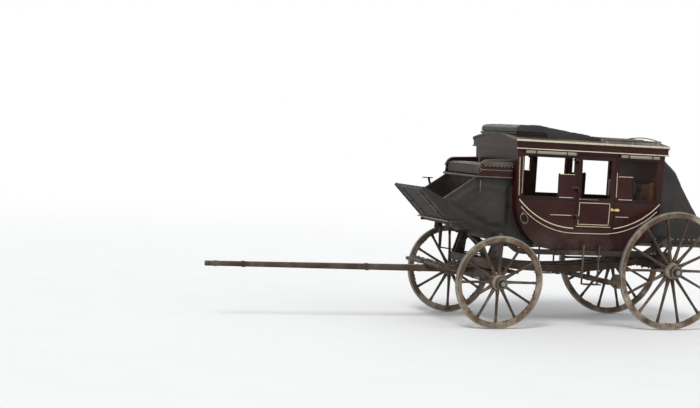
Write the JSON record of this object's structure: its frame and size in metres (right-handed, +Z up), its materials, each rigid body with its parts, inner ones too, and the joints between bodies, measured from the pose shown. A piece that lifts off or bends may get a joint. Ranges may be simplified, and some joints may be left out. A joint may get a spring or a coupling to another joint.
{
  "type": "stagecoach",
  "caption": "Thoroughbrace stagecoach: egg-shaped cabin slung on leather straps, dished spoked wheels, turning front gear with pole, driver's seat, boots and roof seats.",
  "frame": {"origin": "on the ground under the middle of the whole, halfway between the rear tyres' back and the pole's tip", "axes": "+X forward along the pole, +Y to the left side, +Z up"},
  "size_m": [6.7544, 1.9604, 2.556],
  "materials": {
    "body_paint": "varnished coach paint, deep red",
    "bare_timber": "worn bare timber",
    "roof_canvas": "painted canvas over boards",
    "seat_leather": "worn dark brown leather",
    "harness_leather": "oiled harness leather",
    "gear_paint": "straw coloured running gear paint",
    "black_iron": "black painted wrought iron",
    "tyre_iron": "road worn iron",
    "brake_wood": "scorched hardwood",
    "moulding_paint": "cream paint",
    "brass": "handled brass"
  },
  "bodies": {
    "coach": {"left_side_panel": "body_paint", "right_side_panel": "body_paint", "front_wall": "body_paint", "rear_wall": "body_paint", "floor": "bare_timber", "roof": "roof_canvas", "cornice": "body_paint", "bench_frames": "bare_timber", "bench_cushions": "seat_leather", "footboard": "body_paint", "boot_cheeks": "body_paint", "boot_floor": "body_paint", "driver_seat": "body_paint", "driver_cushion": "seat_leather", "deck_seat": "body_paint", "deck_cushion": "seat_leather", "roof_rails": "black_iron", "rear_boot_deck": "bare_timber", "rear_boot_cover": "harness_leather", "rear_axle": "black_iron", "rear_bed": "gear_paint", "kingpin_plate": "black_iron", "front_bolster": "gear_paint", "perches": "gear_paint", "front_standards": "black_iron", "rear_standards": "black_iron", "brake_beam": "gear_paint", "brake_blocks": "brake_wood", "brake_lever": "black_iron", "door_hinges": "black_iron", "side_mouldings": "moulding_paint", "curtain_rolls": "harness_leather", "thoroughbraces": "harness_leather", "steps": "black_iron"},
    "front_carriage": {"front_axle": "black_iron", "front_bed": "gear_paint", "futchells": "gear_paint", "turning_plate": "black_iron", "splinter_bar": "gear_paint", "swingletrees": "gear_paint", "splinter_stays": "black_iron", "pole": "gear_paint", "pole_iron": "black_iron"},
    "left_door_leaf": {"left_door": "body_paint", "left_door_handle": "brass"},
    "right_door_leaf": {"right_door": "body_paint", "right_door_handle": "brass"},
    "front_left_wheel": {"front_left_tyre": "tyre_iron", "front_left_felloes": "gear_paint", "front_left_nave": "gear_paint"},
    "front_right_wheel": {"front_right_tyre": "tyre_iron", "front_right_felloes": "gear_paint", "front_right_nave": "gear_paint"},
    "rear_left_wheel": {"rear_left_tyre": "tyre_iron", "rear_left_felloes": "gear_paint", "rear_left_nave": "gear_paint"},
    "rear_right_wheel": {"rear_right_tyre": "tyre_iron", "rear_right_felloes": "gear_paint", "rear_right_nave": "gear_paint"}
  },
  "joints": [
    {"name": "steering", "type": "hinge", "parent": "coach", "child": "front_carriage", "pos_m": [-0.16275, 0, 0.6], "axis": [0, 0, 1], "range_deg": [-20, 20]},
    {"name": "front_left_wheel_turn", "type": "hinge", "parent": "front_carriage", "child": "front_left_wheel", "pos_m": [-0.16275, 0.82824, 0.58425], "axis": [0, 0.9976, -0.0698], "continuous": true},
    {"name": "front_right_wheel_turn", "type": "hinge", "parent": "front_carriage", "child": "front_right_wheel", "pos_m": [-0.16275, -0.82824, 0.58425], "axis": [0, 0.9976, 0.0698], "continuous": true},
    {"name": "rear_left_wheel_turn", "type": "hinge", "parent": "coach", "child": "rear_left_wheel", "pos_m": [-2.60275, 0.84153, 0.77429], "axis": [0, 0.9976, -0.0698], "continuous": true},
    {"name": "rear_right_wheel_turn", "type": "hinge", "parent": "coach", "child": "rear_right_wheel", "pos_m": [-2.60275, -0.84153, 0.77429], "axis": [0, 0.9976, 0.0698], "continuous": true},
    {"name": "left_door_swing", "type": "hinge", "parent": "coach", "child": "left_door_leaf", "pos_m": [-1.24275, 0.687, 1.7], "axis": [0, 0, -1], "range_deg": [0, 95]},
    {"name": "right_door_swing", "type": "hinge", "parent": "coach", "child": "right_door_leaf", "pos_m": [-1.24275, -0.687, 1.7], "axis": [0, 0, 1], "range_deg": [0, 95]}
  ]
}
